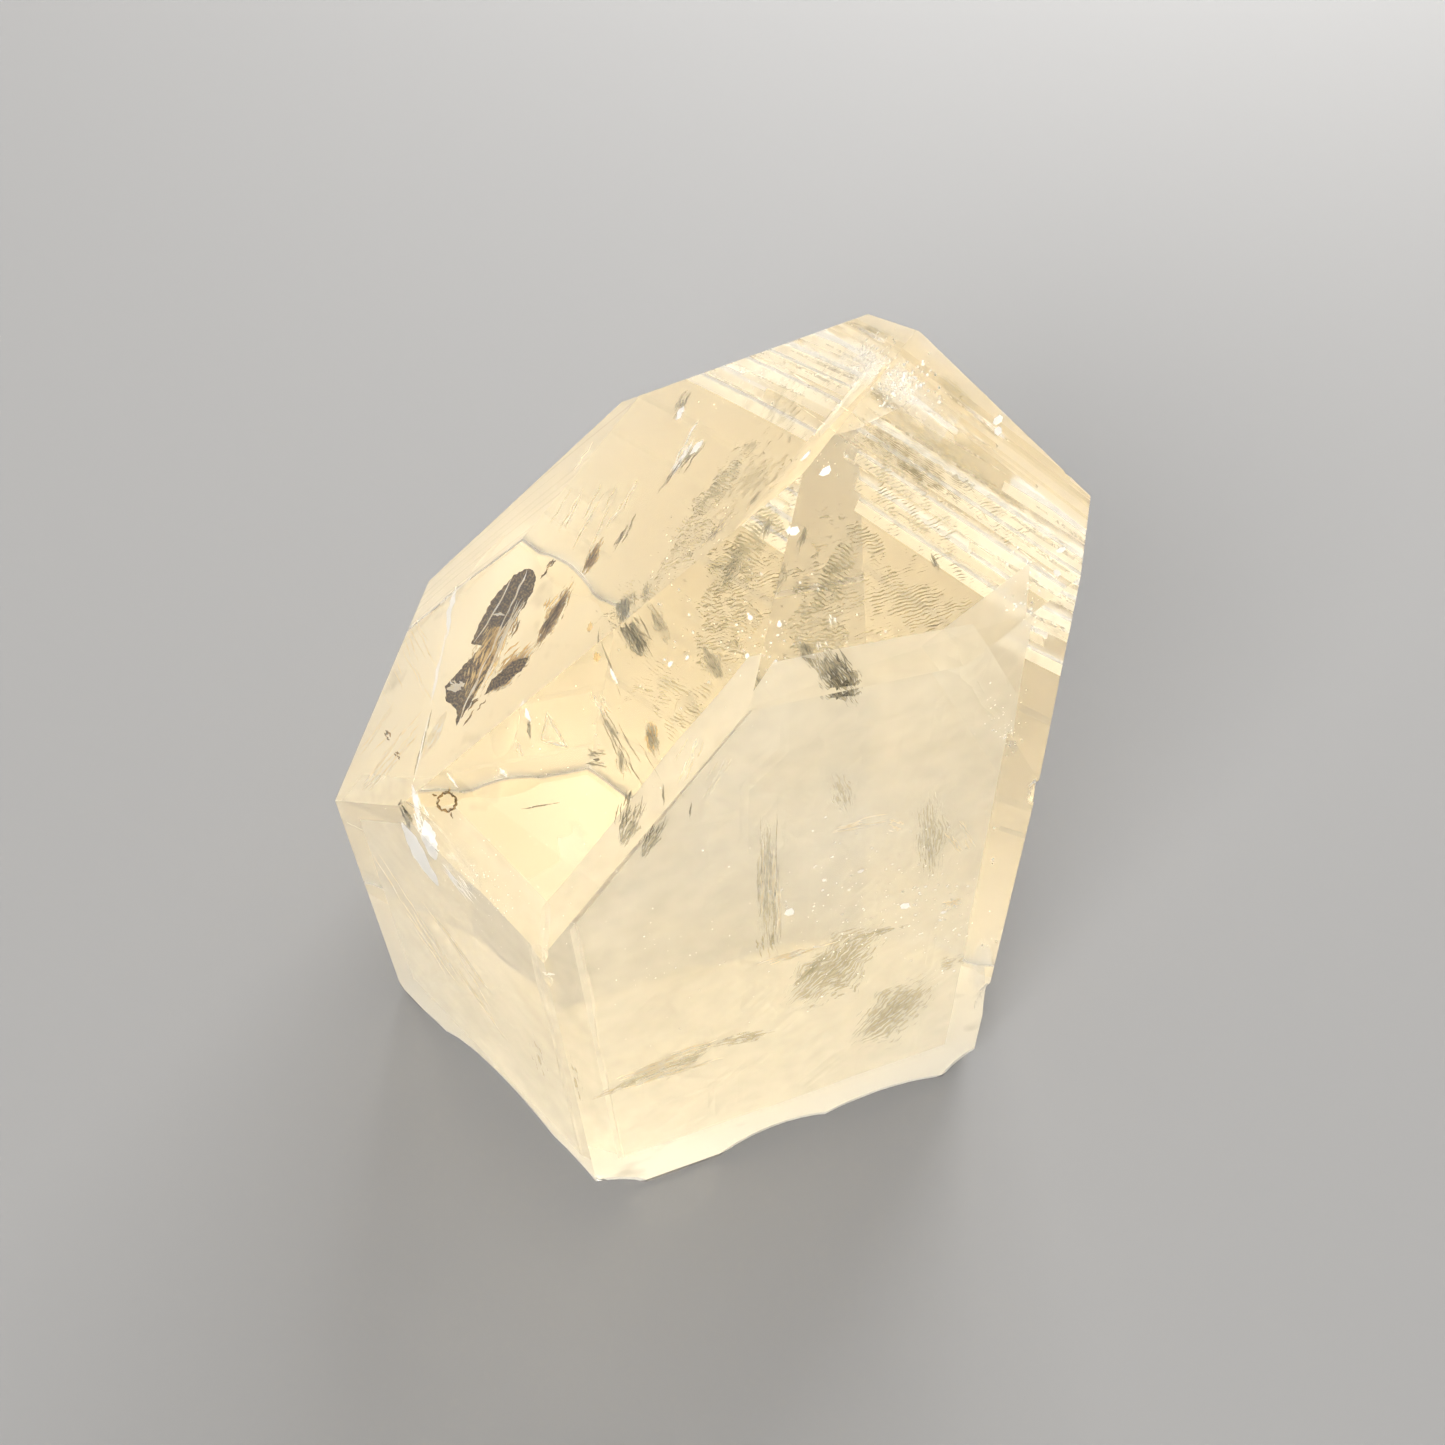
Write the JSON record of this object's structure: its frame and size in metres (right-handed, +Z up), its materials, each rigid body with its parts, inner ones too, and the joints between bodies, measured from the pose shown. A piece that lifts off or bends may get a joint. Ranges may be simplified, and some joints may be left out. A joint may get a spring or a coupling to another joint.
{
  "type": "phantom quartz point",
  "caption": "Polished quartz crystal point with a hexagonal prism, a one-sided rhombohedral tip and a flat cut base to stand on.",
  "frame": {"origin": "middle of the footprint, on the surface that the point stands on", "axes": "+Z up along the crystal's long axis, towards the tip; -Y is the side with the largest prism face"},
  "size_m": [0.0454, 0.0436, 0.0659],
  "materials": {
    "quartz": "clear pale champagne quartz with milky veils, polished faces"
  },
  "bodies": {
    "root": {"quartz_point": "quartz"}
  },
  "joints": []
}
